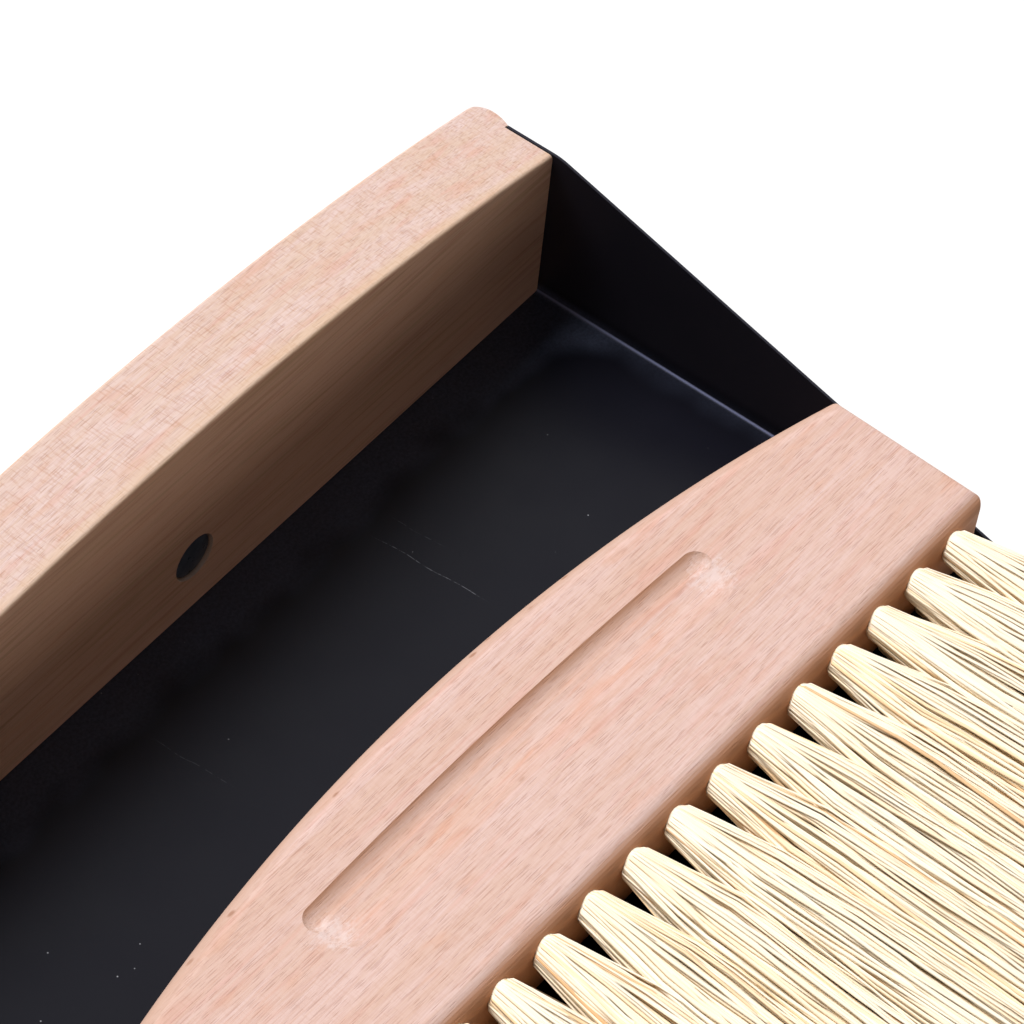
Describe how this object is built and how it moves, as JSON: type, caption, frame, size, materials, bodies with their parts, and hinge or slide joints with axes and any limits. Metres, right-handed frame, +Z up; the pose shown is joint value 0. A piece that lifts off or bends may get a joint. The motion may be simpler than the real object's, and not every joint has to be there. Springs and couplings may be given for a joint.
{
  "type": "dustpan and brush",
  "caption": "Folded black steel dustpan with an arched wooden back board, and a wooden hand brush with plant-fibre bristles lying in it.",
  "frame": {"origin": "on the pan's flat underside, mid-width, directly below the back board's inner face", "axes": "+X along the pan's width, +Y from the pan's open lip towards the back board, +Z up"},
  "size_m": [0.234, 0.2216, 0.0537],
  "materials": {
    "black_steel": "satin black powder coat",
    "board_beech": "sanded, unvarnished",
    "block_beech": "sanded, lightly oiled",
    "plant_fibre": "matt natural fibre",
    "screw_zinc": "zinc plated",
    "magnet_nickel": "dull nickel"
  },
  "bodies": {
    "dustpan": {"dustpan_sheet": "black_steel", "back_board": "board_beech", "board_magnet": "magnet_nickel", "side_screw_left_lower": "screw_zinc", "side_screw_left_upper": "screw_zinc", "side_screw_right_lower": "screw_zinc", "side_screw_right_upper": "screw_zinc"},
    "brush": {"brush_block": "block_beech", "brush_magnet": "magnet_nickel", "tuft_upper_01": "plant_fibre", "tuft_upper_02": "plant_fibre", "tuft_upper_03": "plant_fibre", "tuft_upper_04": "plant_fibre", "tuft_upper_05": "plant_fibre", "tuft_upper_06": "plant_fibre", "tuft_upper_07": "plant_fibre", "tuft_upper_08": "plant_fibre", "tuft_upper_09": "plant_fibre", "tuft_upper_10": "plant_fibre", "tuft_upper_11": "plant_fibre", "tuft_upper_12": "plant_fibre", "tuft_upper_13": "plant_fibre", "tuft_upper_14": "plant_fibre", "tuft_upper_15": "plant_fibre", "tuft_upper_16": "plant_fibre", "tuft_lower_01": "plant_fibre", "tuft_lower_02": "plant_fibre", "tuft_lower_03": "plant_fibre", "tuft_lower_04": "plant_fibre", "tuft_lower_05": "plant_fibre", "tuft_lower_06": "plant_fibre", "tuft_lower_07": "plant_fibre", "tuft_lower_08": "plant_fibre", "tuft_lower_09": "plant_fibre", "tuft_lower_10": "plant_fibre", "tuft_lower_11": "plant_fibre", "tuft_lower_12": "plant_fibre", "tuft_lower_13": "plant_fibre", "tuft_lower_14": "plant_fibre", "tuft_lower_15": "plant_fibre"}
  },
  "joints": [
    {"name": "brush_lift", "type": "slide", "parent": "dustpan", "child": "brush", "axis": [0, 0, 1], "range_m": [0, 0.12]}
  ]
}
